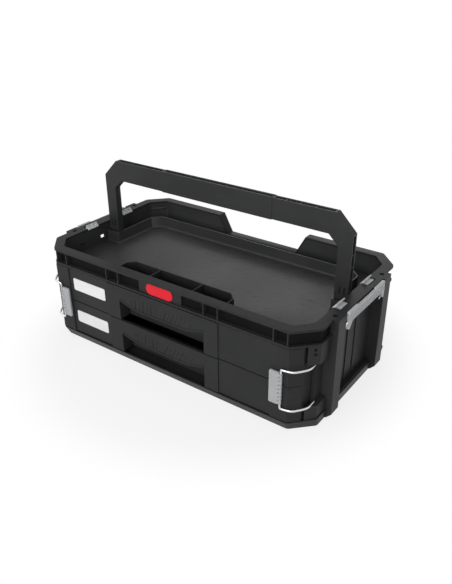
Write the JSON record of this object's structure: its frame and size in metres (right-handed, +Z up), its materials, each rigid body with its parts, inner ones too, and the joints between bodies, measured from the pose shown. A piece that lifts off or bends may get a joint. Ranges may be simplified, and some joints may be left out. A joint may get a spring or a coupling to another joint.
{
  "type": "tool storage caddy",
  "caption": "Stackable tool caddy with an open tray, small parts bin, drawers, corner and side latches and a folding carry handle.",
  "frame": {"origin": "centre of the case footprint, on the surface that it stands on", "axes": "+X to the right seen from the drawers, +Y to the rear, +Z up"},
  "size_m": [0.5704, 0.3196, 0.3008],
  "materials": {
    "case_black": "fine grained black polypropylene",
    "case_charcoal": "grained charcoal polypropylene",
    "latch_grey": "light grey moulded plastic",
    "runner_grey": "grey slide plastic",
    "wire_nickel": "bright nickel plated wire",
    "screw_steel": "zinc plated steel",
    "badge_red": "glossy red badge, bare",
    "label_white": "white label, blank"
  },
  "bodies": {
    "case": {"base_shell": "case_black", "side_frame_left": "case_black", "side_frame_right": "case_black", "rear_panel": "case_black", "corner_post_left": "case_charcoal", "corner_post_right": "case_charcoal", "top_rim": "case_charcoal", "tray_liner": "case_black", "front_bin": "case_black", "runner_upper_left": "runner_grey", "runner_upper_right": "runner_grey", "runner_lower_left": "runner_grey", "runner_lower_right": "runner_grey", "stack_catch_front_left": "latch_grey", "stack_catch_front_right": "latch_grey", "stack_catch_rear_left": "latch_grey", "stack_catch_rear_right": "latch_grey", "badge": "badge_red", "base_screws": "screw_steel", "pivot_pin_left": "screw_steel", "pivot_pin_right": "screw_steel"},
    "handle": {"handle_arm_left": "case_black", "handle_arm_right": "case_black", "handle_sleeve": "case_black"},
    "drawer_upper": {"drawer_upper_tub": "case_black", "drawer_upper_front": "case_charcoal", "drawer_upper_label": "label_white"},
    "drawer_lower": {"drawer_lower_tub": "case_black", "drawer_lower_front": "case_charcoal", "drawer_lower_label": "label_white"},
    "corner_bail_left": {"corner_wire_left": "wire_nickel"},
    "corner_clip_left": {"corner_pad_left": "latch_grey"},
    "side_bail_left": {"side_wire_left": "wire_nickel"},
    "side_clip_left": {"side_pad_left": "latch_grey"},
    "corner_bail_right": {"corner_wire_right": "wire_nickel"},
    "corner_clip_right": {"corner_pad_right": "latch_grey"},
    "side_bail_right": {"side_wire_right": "wire_nickel"},
    "side_clip_right": {"side_pad_right": "latch_grey"}
  },
  "joints": [
    {"name": "handle_fold", "type": "hinge", "parent": "case", "child": "handle", "pos_m": [0, 0, 0.162], "axis": [-1, 0, 0], "range_deg": [0, 90]},
    {"name": "drawer_upper_slide", "type": "slide", "parent": "case", "child": "drawer_upper", "axis": [0, -1, 0], "range_m": [0, 0.22]},
    {"name": "drawer_lower_slide", "type": "slide", "parent": "case", "child": "drawer_lower", "axis": [0, -1, 0], "range_m": [0, 0.22]},
    {"name": "corner_bail_left_swing", "type": "hinge", "parent": "case", "child": "corner_bail_left", "pos_m": [-0.264, -0.116, 0.078], "axis": [0, 0, -1], "range_deg": [0, 100]},
    {"name": "corner_clip_left_flip", "type": "hinge", "parent": "corner_bail_left", "child": "corner_clip_left", "pos_m": [-0.2307, -0.16, 0.078], "axis": [0, 0, -1], "range_deg": [0, 120]},
    {"name": "side_bail_left_swing", "type": "hinge", "parent": "case", "child": "side_bail_left", "pos_m": [-0.276, 0, 0.14], "axis": [0, -1, 0], "range_deg": [0, 110]},
    {"name": "side_clip_left_flip", "type": "hinge", "parent": "side_bail_left", "child": "side_clip_left", "pos_m": [-0.2825, 0, 0.161], "axis": [0, -1, 0], "range_deg": [0, 120]},
    {"name": "corner_bail_right_swing", "type": "hinge", "parent": "case", "child": "corner_bail_right", "pos_m": [0.264, -0.116, 0.078], "axis": [0, 0, 1], "range_deg": [0, 100]},
    {"name": "corner_clip_right_flip", "type": "hinge", "parent": "corner_bail_right", "child": "corner_clip_right", "pos_m": [0.2307, -0.16, 0.078], "axis": [0, 0, 1], "range_deg": [0, 120]},
    {"name": "side_bail_right_swing", "type": "hinge", "parent": "case", "child": "side_bail_right", "pos_m": [0.276, 0, 0.14], "axis": [0, 1, 0], "range_deg": [0, 110]},
    {"name": "side_clip_right_flip", "type": "hinge", "parent": "side_bail_right", "child": "side_clip_right", "pos_m": [0.2825, 0, 0.161], "axis": [0, 1, 0], "range_deg": [0, 120]}
  ]
}
